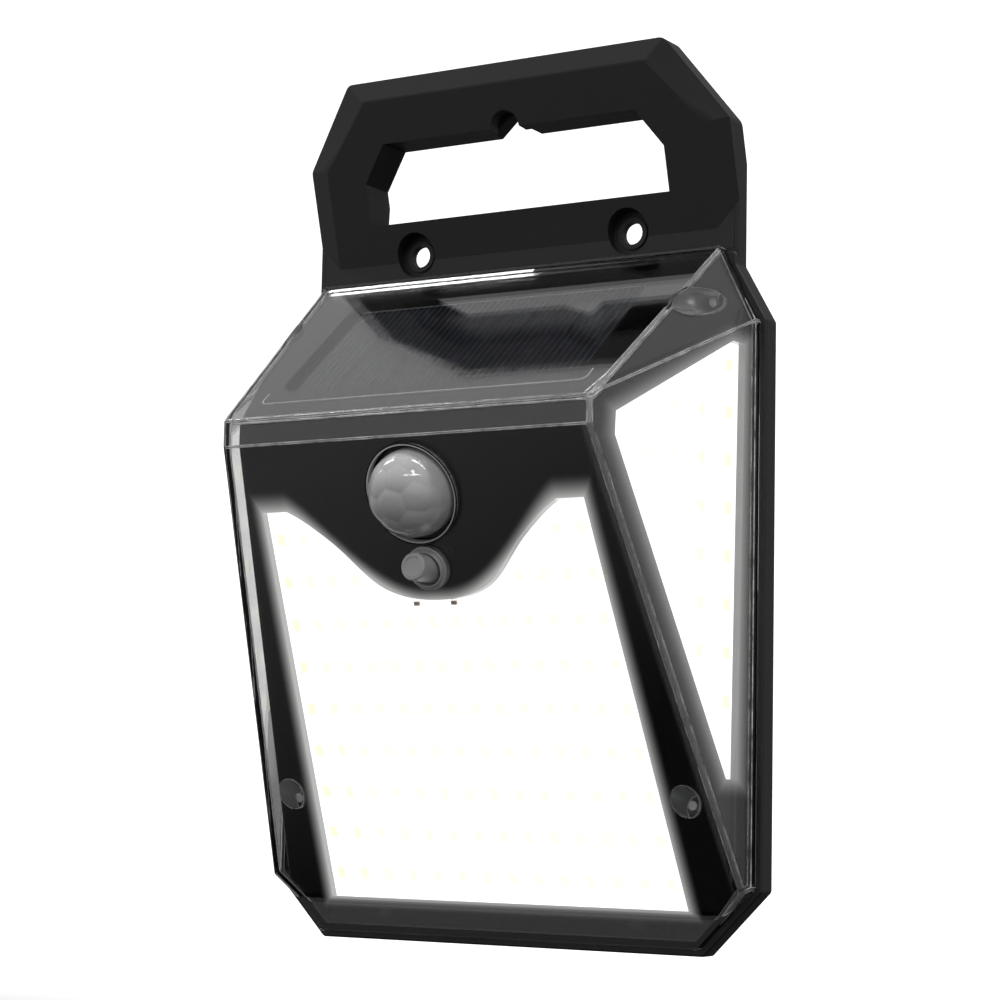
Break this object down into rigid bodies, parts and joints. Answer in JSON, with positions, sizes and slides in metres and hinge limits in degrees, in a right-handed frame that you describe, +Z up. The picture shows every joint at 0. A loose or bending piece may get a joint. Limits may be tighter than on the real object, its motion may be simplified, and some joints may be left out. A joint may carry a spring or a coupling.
{
  "type": "solar wall light",
  "caption": "Wall-mounted solar light with a faceted clear cover, LED panels on three faces, motion sensor dome, push button and a hanging handle.",
  "frame": {"origin": "on the wall plane, midway between the two wall screw holes", "axes": "+X to the right seen from the front, +Y into the wall, +Z up; the light faces -Y"},
  "size_m": [0.15, 0.0649, 0.2358],
  "materials": {
    "black_plastic": "fine moulded texture",
    "gloss_black": "polished",
    "clear_plastic": "clear polished plastic",
    "gasket_rubber": "soft foam rubber",
    "led_board_white": "white solder mask, lit",
    "led_chip": "phosphor, lit",
    "indicator_lamp": "small clear lamp",
    "solar_laminate": "resin-coated panel",
    "solar_cell": "dark silicon with silver fingers",
    "milky_lens": "milky polyethylene",
    "sensor_can": "drawn metal can",
    "grey_silicone": "satin",
    "clear_silicone": "translucent",
    "switch_black": "moulded",
    "board_green": "solder mask",
    "component_black": "moulded",
    "battery_wrap": "shrink sleeve",
    "steel_strip": "plain",
    "lead_red": "insulation",
    "screw_steel": "zinc plated"
  },
  "bodies": {
    "housing": {"back_shell": "black_plastic", "handle_front": "black_plastic", "clear_cover": "clear_plastic", "cover_gasket": "gasket_rubber", "bezel": "gloss_black", "front_led_board": "led_board_white", "left_led_board": "led_board_white", "right_led_board": "led_board_white", "front_led_chips": "led_chip", "left_led_chips": "led_chip", "right_led_chips": "led_chip", "indicator_leds": "indicator_lamp", "solar_panel": "solar_laminate", "solar_cells": "solar_cell", "pir_lens": "milky_lens", "lens_seal": "gasket_rubber", "pir_spacer": "black_plastic", "pir_sensor": "sensor_can", "button_boot": "clear_silicone", "tact_switch": "switch_black", "control_board": "board_green", "board_components": "component_black", "battery_cell": "battery_wrap", "battery_strap": "steel_strip", "battery_leads": "lead_red", "solar_leads": "lead_red", "cover_screws": "screw_steel", "handle_screws": "screw_steel", "board_screws": "screw_steel", "strap_screws": "screw_steel"},
    "button": {"push_button": "grey_silicone", "tact_plunger": "switch_black"}
  },
  "joints": [
    {"name": "button_press", "type": "slide", "parent": "housing", "child": "button", "axis": [0, 1, 0], "range_m": [0, 0.001], "stiffness_N_per_m": 1500}
  ]
}
